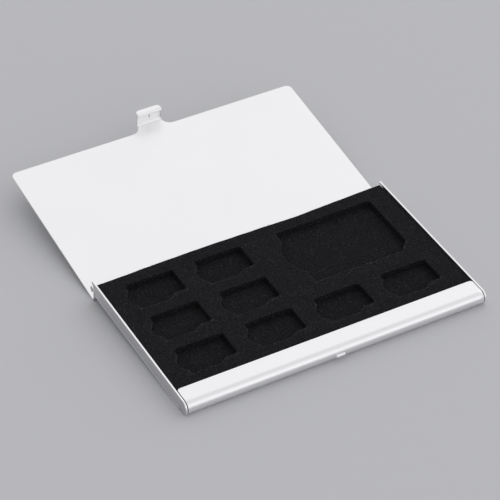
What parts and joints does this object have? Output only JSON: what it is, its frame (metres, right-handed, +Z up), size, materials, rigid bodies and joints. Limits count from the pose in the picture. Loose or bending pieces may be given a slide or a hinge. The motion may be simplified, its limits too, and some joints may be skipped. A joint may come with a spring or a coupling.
{
  "type": "memory card case",
  "caption": "Slim hinged sheet-aluminium case with a rounded front lip, a snap-tab lid and a black foam insert with shaped pockets for flat memory cards, shown open.",
  "frame": {"origin": "middle of the bounding box at rest, on the surface that the open case stands on", "axes": "+X to the right along the hinge, +Y to the rear towards the open lid, +Z up"},
  "size_m": [0.0978, 0.12, 0.0148],
  "materials": {
    "satin_aluminium": "satin",
    "plate_aluminium": "satin",
    "pin_steel": "bright",
    "black_foam": "matte fine-celled foam",
    "tape": "matte"
  },
  "bodies": {
    "tray": {"tray_shell": "satin_aluminium", "side_plate_left": "plate_aluminium", "side_plate_right": "plate_aluminium", "hinge_pin": "pin_steel", "foam_pocket_layer": "black_foam", "foam_base_layer": "black_foam", "adhesive_tape": "tape"},
    "lid": {"lid_panel": "satin_aluminium"}
  },
  "joints": [
    {"name": "lid_hinge", "type": "hinge", "parent": "tray", "child": "lid", "pos_m": [0, -0.00082, 0.00385], "axis": [1, 0, 0], "range_deg": [0, 173.4]}
  ]
}
